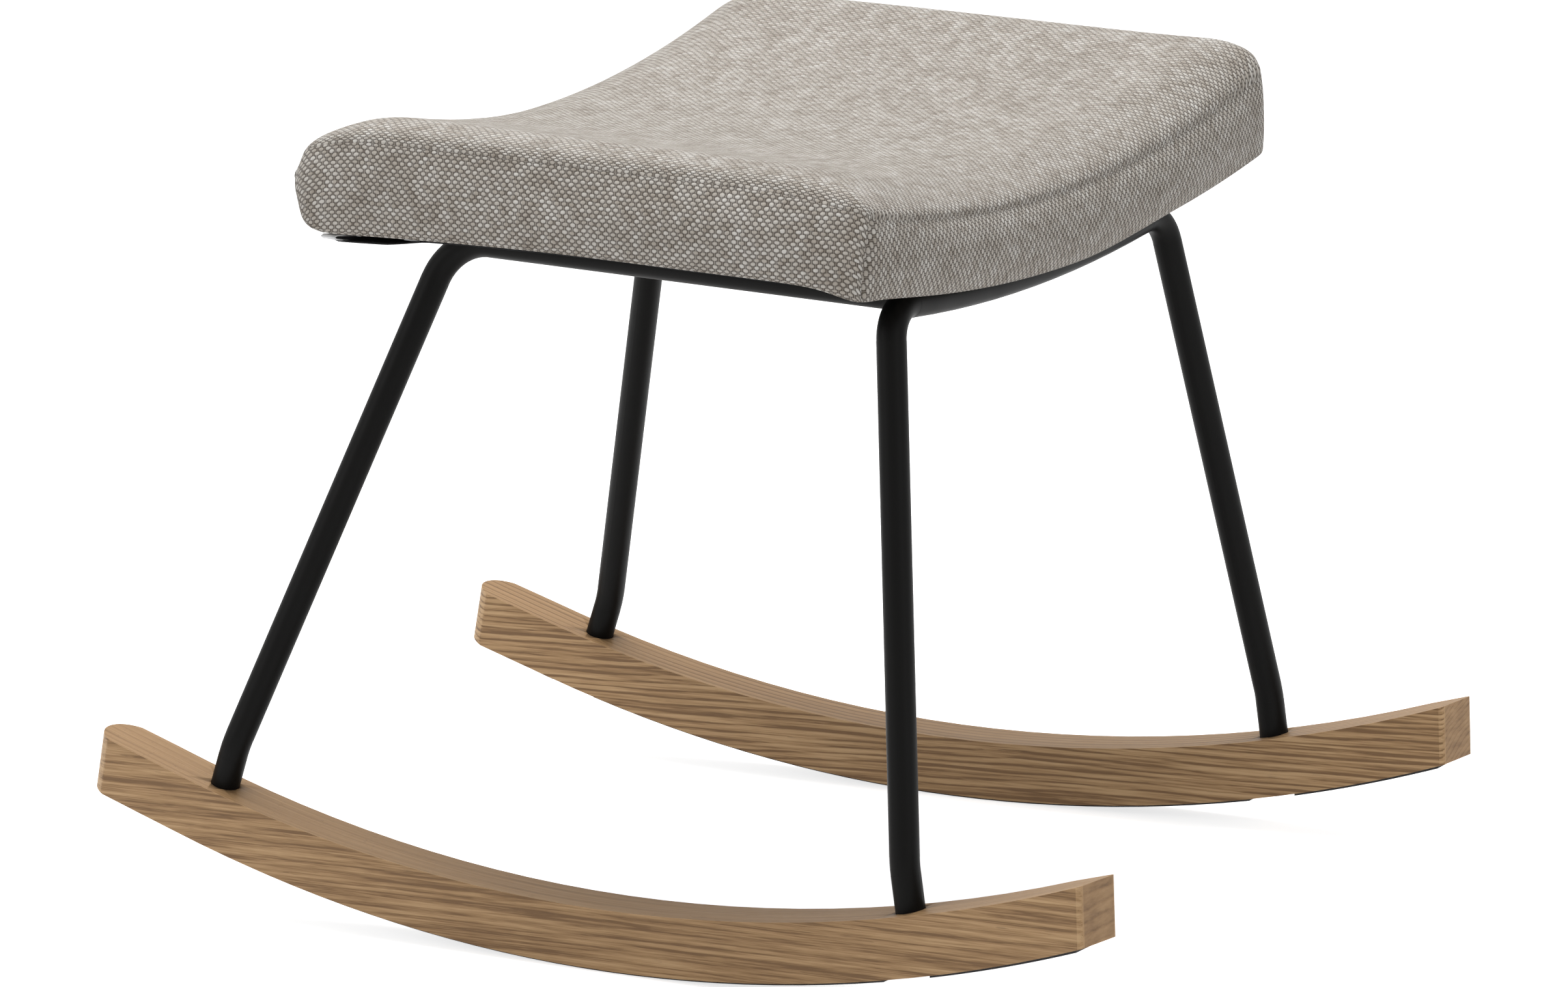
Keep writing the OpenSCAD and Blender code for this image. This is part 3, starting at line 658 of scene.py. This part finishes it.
def softened(node_name, material):
    bm = bmesh.new()
    bm.from_mesh(nodes[node_name].data)
    bmesh.ops.remove_doubles(bm, verts=bm.verts, dist=SAME_PLACE)
    bmesh.ops.dissolve_limit(bm, angle_limit=FLAT, verts=bm.verts, edges=bm.edges)
    trued_ends(bm)
    worn_and_lit = bm.faces.layers.float.new("worn_and_lit")
    for wanted, rounding in ((is_front_corner, CORNER_ROUNDING), (is_outer_edge, EDGE_ROUNDING)):
        sharp = [e for e in bm.edges if e.is_manifold and e.calc_face_angle() > SHARP and wanted(e)]
        print(node_name, len(sharp), "edges rounded by", rounding, "mm")
        rounded = bmesh.ops.bevel(
            bm,
            geom=sharp,
            offset=rounding * MM,
            offset_type="OFFSET",
            affect="EDGES",
            segments=ROUNDING_STEPS,
            profile=0.5,
            material=-1,
            clamp_overlap=True,
        )
        # The rounded faces are marked paler: partly sanding wear, partly a painted highlight where the rounds catch
        # the light.
        for face in rounded["faces"]:
            face[worn_and_lit] = 1.0
    bm.normal_update()
    # The rounded rear end is marked paler too: partly its pale end grain, partly painted light falling on it from
    # the left.
    for face in bm.faces:
        if face.normal.x < REAR_FACING and face.calc_center_median().x < REAR_ROUND_X:
            face[worn_and_lit] = 1.0
    piece = piece_from(bm, "softened_" + node_name, material)
    piece.data.set_sharp_from_angle(angle=CREASED)
    flat_faces = piece.modifiers.new("flat_faces", "WEIGHTED_NORMAL")
    flat_faces.keep_sharp = True
    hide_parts(node_name)


softened("rocker_right", oak_right)
softened("rocker_left", oak_left)

# %% [markdown]
# ## The seat's shape
#
# The seat is a shallow trough: its underside follows a moulded shell, and its pad is a thicker, softer hollow. The
# front edge is a sewn panel whose upper seam lies lower than the pad, so the pad rolls over to it. Along the sides
# the cover runs down in one piece over a roll, and the rear end is one fat rounding. Sculpting could give this, but
# not measured sizes, so two functions give the height of the top and of the underside at any place. Both are made
# of plain pieces: an arc, a crown, and rolls that are quarter circles.

# %% Curves that the seat's surfaces are made of
def clamped(share):
    return min(1.0, max(0.0, share))


def quarter_round(share):
    left = 1 - clamped(share)
    return math.sqrt(max(0.0, 1 - left * left))


def smooth_step(share):
    share = clamped(share)
    return share * share * (3 - 2 * share)


def nearness(distance, reach):
    return math.exp(-((distance / reach) ** 2))


def rolled(side, front):
    return max(0.0, 1 - ((1 - side) ** 3 + (1 - front) ** 3) ** (1 / 3))


# %% The top of the pad, in level millimetres
FRONT_X = 204.0
REAR_X = -156.0
CREASE_Y = 212.0
TOP_SEAM_Z = 409.15
TOP_RADIUS = 940.0
PAD_CROWN = 14.8
PAD_SIDE_RISE = 5.0
PAD_LOPSIDE = 4.7
SIDE_ROLL = 21.0
ROLL_START = 0.015
FRONT_ROLL = 40.0
REAR_ROLL = 58.0
REAR_ROLL_LOPSIDE = 7.0
REAR_TUCK = 16.0
SEAM_DROP = 2.0
SEAM_LOPSIDE = 3.5


def top_z(x, y):
    share = y / CREASE_Y
    rear = quarter_round((x - REAR_X) / (REAR_ROLL - REAR_ROLL_LOPSIDE * share))
    crest = PAD_CROWN + PAD_SIDE_RISE * share * share + PAD_LOPSIDE * share
    side_roll = quarter_round(ROLL_START + (CREASE_Y - abs(y)) / SIDE_ROLL)
    front_roll = quarter_round((FRONT_X - x) / FRONT_ROLL)
    rise = crest * rolled(side_roll, front_roll)
    seam = nearness(FRONT_X - x, FRONT_ROLL) * (SEAM_LOPSIDE * share - SEAM_DROP)
    return TOP_SEAM_Z + arc_rise(TOP_RADIUS, y) + seam + rise * rear - REAR_TUCK * (1 - rear)


print("the pad's middle is at", round(top_z((FRONT_X + REAR_X) / 2, 0.0), 1), "mm")

# %% The underside of the seat, in level millimetres
TROUGH_CENTRE_Z = 1488.65
UNDERSIDE_RADIUS = 1120.0
SIDE_START = 120.0
SIDE_WIDTH = 80.0
REAR_SAG = 6.8
REAR_SAG_START = 35.0
REAR_SAG_POWER = 1.6
REAR_LIFT = 14.0
REAR_LIFT_AT_SIDE = 12.0
REAR_LIFT_REACH = 24.0
REAR_REACH_AT_SIDE = 9.0
HEM_REACH = 25.0
HEM_DROP = 2.4
HEM_RISE = 4.0
HEM_RISE_Y = 110.0


def underside_z(y):
    return TROUGH_CENTRE_Z - UNDERSIDE_RADIUS + arc_rise(UNDERSIDE_RADIUS, y)


def low_z(x, y):
    edge = smooth_step((abs(y) - SIDE_START) / SIDE_WIDTH)
    back_share = clamped((REAR_SAG_START - x) / (REAR_SAG_START - REAR_X))
    sag = REAR_SAG * edge * back_share**REAR_SAG_POWER
    lift_share = 1 - quarter_round((x - REAR_X) / (REAR_LIFT_REACH + REAR_REACH_AT_SIDE * edge))
    lift = (REAR_LIFT + REAR_LIFT_AT_SIDE * edge) * lift_share
    hem = nearness(FRONT_X - x, HEM_REACH) * (HEM_RISE * smooth_step(y / HEM_RISE_Y) - HEM_DROP)
    return underside_z(y) - sag + lift + hem


print("the underside's middle is at", round(low_z((FRONT_X + REAR_X) / 2, 0.0), 1), "mm")

# %% [markdown]
# ## The cloth's own map
#
# A weave has to follow the cloth over every roll. Blender can unwrap a mesh, but an unwrapped map is stretched to
# fit and has no real scale, so this one is measured along the surface. Three tables hold the distance along the
# cloth from the middle: to the rear end, to the front end, and out to a side. The cover crosses both sides in one
# piece, and the front panel is a separate piece that was cut the other way round, so its threads stand upright.


# %% Distances measured along the cloth
def distances(points):
    total = [0.0]
    for (a0, b0), (a1, b1) in zip(points, points[1:]):
        total.append(total[-1] + math.hypot(a1 - a0, b1 - b0))
    return total


def looked_up(table, value):
    keys, lengths = table
    if value <= keys[0]:
        return lengths[0]
    for low, high, start, end in zip(keys, keys[1:], lengths, lengths[1:]):
        if value <= high:
            return start + (end - start) * (value - low) / (high - low)
    return lengths[-1]


STEPS = 240
MEASURED_Y = 140.0
EDGE_BLEND = 60.0
SEAT_MID_X = (FRONT_X + REAR_X) / 2
HALF_LENGTH = (FRONT_X - REAR_X) / 2
along = [math.sin(step / STEPS * math.pi / 2) for step in range(STEPS + 1)]
rearward = [SEAT_MID_X - HALF_LENGTH * share for share in along]
forward = [SEAT_MID_X + HALF_LENGTH * share for share in along]
outward = [CREASE_Y * share for share in along]
rear_table = ([SEAT_MID_X - x for x in rearward], distances([(x, top_z(x, MEASURED_Y)) for x in rearward]))
front_table = ([x - SEAT_MID_X for x in forward], distances([(x, top_z(x, MEASURED_Y)) for x in forward]))
side_table = (outward, distances([(y, top_z(SEAT_MID_X, y)) for y in outward]))
print("cloth runs", round(rear_table[1][-1] + front_table[1][-1]), "mm over the pad's length")


# %% A place on the cloth for a place on the seat
def along_cloth(x, y):
    table = rear_table if x < SEAT_MID_X else front_table
    straight = abs(x - SEAT_MID_X)
    curved = looked_up(table, straight)
    blend = smooth_step((CREASE_Y - abs(y)) / EDGE_BLEND)
    return math.copysign(straight + (curved - straight) * blend, x - SEAT_MID_X)


def across_cloth(y):
    return math.copysign(looked_up(side_table, abs(y)), y)


# %% [markdown]
# ## The cushion
#
# The upholstered seat starts as a cube, cut into a grid with more rows near the edges, and every point is then
# moved to the seat's surface. A sheet bent round the pad would do too, but a cube keeps each panel of the cover as
# one face, which makes the seams and the cloth's map easy to find. The front panel bulges between its seams, the
# sides and the rear bulge less, and the corners are drawn in round.

# %% A cube cut into a fine grid
GRID_CUTS = (58, 72, 9)


def gridded_cube(cuts):
    bm = bmesh.new()
    bmesh.ops.create_cube(bm, size=2.0)
    for axis, count in enumerate(cuts):
        edges = [e for e in bm.edges if abs((e.verts[0].co - e.verts[1].co)[axis]) > 0.5]
        bmesh.ops.subdivide_edges(bm, edges=edges, cuts=count, use_grid_fill=True)
    return bm


def crowded(share):
    return math.sin(share * math.pi / 2)


# %% Corners drawn in
NEAR_CORNER = 7.0
FAR_CORNER = 17.0
FAR_CORNER_TIGHTER = 9.0
REAR_CORNER = 17.0
REAR_CORNER_WIDER = 7.0
NO_CORNER = 1e-9


def corner_draw(x, y, half, rise):
    to_front, to_rear, to_side = FRONT_X - x, x - REAR_X, half - abs(y)
    if to_front < to_rear:
        radius = NEAR_CORNER if y < 0 else FAR_CORNER - FAR_CORNER_TIGHTER * rise
    else:
        radius = REAR_CORNER + REAR_CORNER_WIDER * (1 - rise) ** 2
    a = max(0.0, 1 - min(to_front, to_rear) / radius)
    b = max(0.0, 1 - to_side / radius)
    length = math.hypot(a, b)
    if length < NO_CORNER:
        return 0.0, 0.0
    squeeze = max(a, b) / length
    return radius * a * (1 - squeeze), radius * b * (1 - squeeze)


# %% From a point of the cube to a point of the cushion
TIP_Y = 221.5
AT_END = 0.999
FRONT_BULGE = 6.0
FRONT_BULGE_POWER = 6
REAR_BULGE = 1.5
REAR_BULGE_REACH = 22.0
SIDE_BULGE = 2.0
TIP_SAG = 3.0
TIP_SAG_REACH = 20.0
TIP_SAG_POWER = 12


def cushion_point(unit):
    x = SEAT_MID_X + HALF_LENGTH * crowded(unit.x)
    rise = 0.5 + 0.5 * unit.z
    side = crowded(unit.y)
    half = TIP_Y + (CREASE_Y - TIP_Y) * rise
    y = side * half
    low, top = low_z(x, side * TIP_Y), top_z(x, side * CREASE_Y)
    z = low + (top - low) * rise
    swell = 4 * rise * (1 - rise)
    if unit.x > AT_END:
        x += FRONT_BULGE * swell * (1 - abs(side) ** FRONT_BULGE_POWER)
    x -= REAR_BULGE * swell * max(0.0, 1 - (x - REAR_X) / REAR_BULGE_REACH) ** 2
    if abs(unit.y) > AT_END:
        y += math.copysign(SIDE_BULGE * swell, unit.y)
    draw_x, draw_y = corner_draw(x, y, half, rise)
    x -= math.copysign(draw_x, unit.x)
    y -= math.copysign(draw_y, unit.y)
    near_tip = nearness(FRONT_X - x, TIP_SAG_REACH) * abs(side) ** TIP_SAG_POWER if side < 0 else 0.0
    return Vector((x, y, z - TIP_SAG * near_tip * (1 - rise) ** 2))


# %% The cloth's map on each panel
FRONT_PANEL_SHIFT = 900.0


def cloth_place(normal, unit, p):
    if normal.x > MOSTLY:
        return (p.z + FRONT_PANEL_SHIFT, p.y)
    x = SEAT_MID_X + HALF_LENGTH * crowded(unit.x)
    crease_y = crowded(unit.y) * CREASE_Y
    if abs(normal.z) > MOSTLY or normal.x < -MOSTLY:
        past = 0.0 if normal.z > MOSTLY else -(p.z - top_z(x, crease_y))
        return (along_cloth(x, crease_y) - past, across_cloth(crease_y))
    fall = top_z(x, CREASE_Y) - p.z
    return (x - SEAT_MID_X, math.copysign(side_table[1][-1] + fall, normal.y))


# %% The cushion's mesh, with its seams and its held points marked
LOOSE_REAR = -0.75
LOOSE_SIDE = 0.7


def cushion_mesh():
    bm = gridded_cube(GRID_CUTS)
    cloth = bm.loops.layers.uv.new("cloth")
    seam = bm.verts.layers.float.new("seam")
    hold = bm.verts.layers.float.new("hold")
    placed = {v: cushion_point(v.co) for v in bm.verts}
    for face in bm.faces:
        for loop in face.loops:
            place = cloth_place(face.normal, loop.vert.co, placed[loop.vert])
            loop[cloth].uv = (place[0] * MM, place[1] * MM)
    for v in bm.verts:
        on_seam = v.co.x > AT_END and (abs(v.co.y) > AT_END or v.co.z > AT_END)
        at_rear_corner = v.co.x < LOOSE_REAR and abs(v.co.y) > LOOSE_SIDE
        under = v.co.z < -AT_END and not at_rear_corner
        v[seam] = 1.0 if on_seam else 0.0
        v[hold] = 1.0 if on_seam or under else 0.0
    for v in bm.verts:
        v.co = placed[v]
    bmesh.ops.recalc_face_normals(bm, faces=bm.faces)
    return bm


cushion = settled_piece(cushion_mesh(), "seat_cushion", wool)
print("cushion faces:", len(cushion.data.polygons))

# %% [markdown]
# ## Letting the cloth settle
#
# Real upholstery is blown tight by the foam inside. Blender's cloth with a little air pressure does the same for
# the mesh: the pad swells, the panels round out and the seams hold back. Its raw result has small dents, so only
# the outward swell is kept, and it is smoothed over neighbouring points. The underside is pinned, gravity is off,
# and no point may move more than a few millimetres, so the seat keeps its measured size.

# %% Cloth with air pressure
PRESSURE = 4.0
LAST_FRAME = 20
LARGEST_MOVE = 3.0 * MM
SMOOTHING = 6


def simulated_places(piece):
    air = piece.modifiers.new("air", "CLOTH")
    air.settings.vertex_group_mass = "held"
    air.settings.use_pressure = True
    air.settings.uniform_pressure_force = PRESSURE
    air.settings.effector_weights.gravity = 0.0
    scene = bpy.context.scene
    for step in range(1, LAST_FRAME + 1):
        scene.frame_set(step)
    settled = piece.evaluated_get(bpy.context.evaluated_depsgraph_get())
    places = [v.co.copy() for v in settled.data.vertices]
    piece.modifiers.remove(air)
    scene.frame_set(1)
    return places


def smoothed(mesh, swells, weights):
    sums = [[swell, 1] for swell in swells]
    for edge in mesh.edges:
        one, other = edge.vertices
        sums[one][0] += swells[other]
        sums[one][1] += 1
        sums[other][0] += swells[one]
        sums[other][1] += 1
    return [total / count * (1 - weight) for (total, count), weight in zip(sums, weights)]


def blow_up(piece):
    mesh = piece.data
    group = piece.vertex_groups.new(name="held")
    weights = [item.value for item in mesh.attributes["hold"].data]
    for index, weight in enumerate(weights):
        group.add([index], weight, "REPLACE")
    places = simulated_places(piece)
    swells = [max(0.0, (place - v.co).dot(v.normal)) for v, place in zip(mesh.vertices, places)]
    print(piece.name, "wanted to swell by", round(max(swells) / MM, 1), "mm")
    swells = [min(swell, LARGEST_MOVE) * (1 - weight) for swell, weight in zip(swells, weights)]
    for _ in range(SMOOTHING):
        swells = smoothed(mesh, swells, weights)
    moves = [v.normal * swell for v, swell in zip(mesh.vertices, swells)]
    for v, move in zip(mesh.vertices, moves):
        v.co += move
    print("mean swell", round(sum(swells) / len(swells) / MM, 2), "mm")


blow_up(cushion)

# %% [markdown]
# ## Seams
#
# A sewn seam pulls the cloth in. A line painted on would be lost at the outline, so the points on the seams are
# moved inwards, and one subdivision rounds the cushion on both sides of them.

# %% Seams drawn in and the finished cushion
SEAM_DEPTH = 1.4


def draw_seams_in(piece):
    bm = bmesh.new()
    bm.from_mesh(piece.data)
    bm.normal_update()
    seam = bm.verts.layers.float["seam"]
    drawn = [(v, v.normal * SEAM_DEPTH * MM) for v in bm.verts if v[seam] > 0.5]
    for v, depth in drawn:
        v.co -= depth
    bm.to_mesh(piece.data)
    bm.free()
    print(len(drawn), "points on the seams drawn in by", SEAM_DEPTH, "mm")


draw_seams_in(cushion)
rounder = cushion.modifiers.new("rounder", "SUBSURF")
rounder.levels = 1
rounder.render_levels = 1
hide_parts("cover_top", "cover_front", "cover_rear", "seat_foam")

# %% [markdown]
# ## The felt under the seat
#
# A black cloth is stapled under the seat to hide the shell. It is tight in the middle and hangs a little at the
# rear corners, where it shows as a dark lip under the seat's edge. It is held all round and hardly moves, so
# nothing would be gained by simulating it: a grid is laid on the underside, and the lip and a slight ripple are
# added to it.

# %% Black lining
LINING_X = (-134.0, 178.0)
LINING_HALF_Y = 205.0
LINING_GRID = (60, 72)
LINING_DROP = 0.8
LINING_THICKNESS = 0.6
LIP_X = -108.0
LIP_LENGTH = 36.0
LIP_STEEPNESS = 1.6
LIP_SIDE_START = 170.0
LIP_SIDE_WIDTH = 35.0
LIP_DEPTH = 1.0
LIP_OUT = 9.0
RIPPLE_SCALE = 0.03
RIPPLE_DEPTH = 0.4


def lining_mesh():
    bm = bmesh.new()
    bmesh.ops.create_grid(bm, x_segments=LINING_GRID[0], y_segments=LINING_GRID[1], size=1.0)
    centre = (LINING_X[0] + LINING_X[1]) / 2
    half = (LINING_X[1] - LINING_X[0]) / 2
    for v in bm.verts:
        x = centre + half * v.co.x
        y = LINING_HALF_Y * v.co.y
        lip = smooth_step(LIP_STEEPNESS * (1 - abs(x - LIP_X) / LIP_LENGTH))
        lip *= smooth_step((abs(y) - LIP_SIDE_START) / LIP_SIDE_WIDTH)
        ripple = noise.noise(Vector((x, y, 0.0)) * RIPPLE_SCALE)
        drop = LINING_DROP + LIP_DEPTH * lip + RIPPLE_DEPTH * ripple
        v.co = Vector((x, y + math.copysign(LIP_OUT * lip, y), low_z(x, y) - drop))
    return bm


lining = settled_piece(lining_mesh(), "seat_lining", felt)
lining_body = lining.modifiers.new("thicken", "SOLIDIFY")
lining_body.thickness = LINING_THICKNESS * MM
lining_body.offset = -1.0
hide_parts("dust_cover")
print("lining faces:", len(lining.data.polygons))

# %% [markdown]
# ## A tape end
#
# The end of a blank white cotton tape peeps out beside the felt at the rear of the near side. It is a narrow grid
# whose rows are laid along a short path: out from under the seat, round a fold and back in.

# %% Cotton tape
TAPE_X = -125.5
TAPE_WIDTH = 9.0
TAPE_THICKNESS = 0.5
# Each row's place across the seat, and how far it hangs below the underside.
TAPE_PATH = ((-196.0, 0.6), (-208.0, 0.6), (-218.5, 0.7), (-221.0, 1.8), (-218.5, 2.9), (-206.0, 3.1))


def tape_mesh():
    bm = bmesh.new()
    spans = len(TAPE_PATH) - 1
    bmesh.ops.create_grid(bm, x_segments=2, y_segments=spans, size=1.0)
    for v in bm.verts:
        y, drop = TAPE_PATH[round((v.co.y + 1) / 2 * spans)]
        v.co = Vector((TAPE_X + v.co.x * TAPE_WIDTH / 2, y, low_z(TAPE_X, y) - drop))
    return bm


tape = settled_piece(tape_mesh(), "cotton_tape", white_tape)
tape_body = tape.modifiers.new("thicken", "SOLIDIFY")
tape_body.thickness = TAPE_THICKNESS * MM
tape_body.offset = 0.0
print("tape faces:", len(tape.data.polygons))

# %% [markdown]
# ## Staples
#
# A row of thin staples holds the felt to the shell all round. Only the back of each staple shows, so one flat bar
# stands for it, tilted to lie on the curved underside. All the bars share one mesh, which keeps them one piece.

# %% Staples
STAPLE_LENGTH = 10.0
STAPLE_WIRE = 0.6
STAPLE_FLATTENING = 1.6
STAPLE_INSET = 5.0
STAPLE_SIDE_INSET = 13.0
STAPLE_PITCH = 34.0
STAPLE_DROP = 0.75


def staple_places():
    rear, front = LINING_X[0] + STAPLE_INSET, LINING_X[1] - STAPLE_INSET
    side = LINING_HALF_Y - STAPLE_SIDE_INSET
    count = int((front - rear) / STAPLE_PITCH)
    for k in range(count + 1):
        x = rear + (front - rear) * k / count
        yield x, side, 0.0
        yield x, -side, 0.0
    count = int(2 * side / STAPLE_PITCH)
    for k in range(1, count):
        y = -side + 2 * side * k / count
        yield rear, y, math.pi / 2
        yield front, y, math.pi / 2


def staple_mesh():
    bm = bmesh.new()
    bar = Matrix.Diagonal((STAPLE_LENGTH, STAPLE_WIRE * STAPLE_FLATTENING, STAPLE_WIRE, 1.0))
    for x, y, turn in staple_places():
        z = low_z(x, y) - LINING_DROP - STAPLE_DROP
        tilt = Matrix.Rotation(math.asin(y / UNDERSIDE_RADIUS), 4, "X")
        place = Matrix.Translation((x, y, z)) @ tilt @ Matrix.Rotation(turn, 4, "Z")
        bmesh.ops.create_cube(bm, size=1.0, matrix=place @ bar)
    print(len(bm.faces) // 6, "staples")
    return bm


staples = settled_piece(staple_mesh(), "staples", zinc, smooth=False)

# %% [markdown]
# ## Floor and light
#
# The stool stands on a white floor in an even studio light: a broad soft lamp overhead, a weaker one from the
# front left that draws the highlight down each tube, and a faint one from the right. A white background could come
# from stronger lamps, but the cloth would then be bleached. So the floor and the world glow only in rays from the
# camera and in reflections, and light the stool no more than a pale room does.

# %% Floor
FLOOR_HALF = 6.0
FLOOR_COLOUR = (0.86, 0.86, 0.86, 1.0)
FLOOR_GLOW = 0.72
WHITE = (1.0, 1.0, 1.0, 1.0)


def background_rays(material):
    rays = add(material, "LightPath").outputs
    seen = maths(material, "MAXIMUM", rays["Is Camera Ray"], rays["Is Glossy Ray"])
    return maths(material, "MAXIMUM", seen, rays["Is Transmission Ray"])


bm = bmesh.new()
bmesh.ops.create_grid(bm, x_segments=1, y_segments=1, size=FLOOR_HALF)
floor_mesh = bpy.data.meshes.new("floor")
bm.to_mesh(floor_mesh)
bm.free()
floor = bpy.data.objects.new("floor", floor_mesh)
bpy.context.scene.collection.objects.link(floor)
floor_paint, floor_shader = new_material(
    "floor_paint", Base_Color=FLOOR_COLOUR, Roughness=0.9, Emission_Color=WHITE
)
glow = maths(floor_paint, "MULTIPLY", background_rays(floor_paint), FLOOR_GLOW)
join(floor_paint, glow, floor_shader.inputs["Emission Strength"])
floor_mesh.materials.append(floor_paint)
print("floor is", 2 * FLOOR_HALF, "m wide")

# %% World
WORLD_LIGHT = 0.38
world = bpy.data.worlds.new("studio")
bpy.context.scene.world = world
world.use_nodes = True
sky = world.node_tree.nodes["Background"]
sky.inputs["Color"].default_value = WHITE
join(world, layered(world, WORLD_LIGHT, (background_rays(world), 1.0 - WORLD_LIGHT)), sky.inputs["Strength"])
print("the world lights the stool at", WORLD_LIGHT)


# %% Lamps
def soft_lamp(name, place, aim, size, power):
    data = bpy.data.lights.new(name, "AREA")
    data.shape = "SQUARE"
    data.size = size
    data.energy = power
    lamp = bpy.data.objects.new(name, data)
    turn = (Vector(aim) - Vector(place)).to_track_quat("-Z", "Y").to_matrix().to_4x4()
    lamp.matrix_world = Matrix.Translation(place) @ turn
    bpy.context.scene.collection.objects.link(lamp)
    print(name, "lamp of", power, "W")


soft_lamp("overhead", place=(-0.2, 0.2, 2.6), aim=(0.0, 0.0, 0.2), size=1.8, power=62.0)
soft_lamp("front_left", place=(-1.6, -2.4, 1.5), aim=(0.0, 0.0, 0.25), size=1.2, power=16.0)
soft_lamp("right_fill", place=(2.6, -0.8, 1.0), aim=(0.0, 0.0, 0.25), size=1.4, power=6.5)
bpy.context.scene.view_settings.view_transform = "Standard"
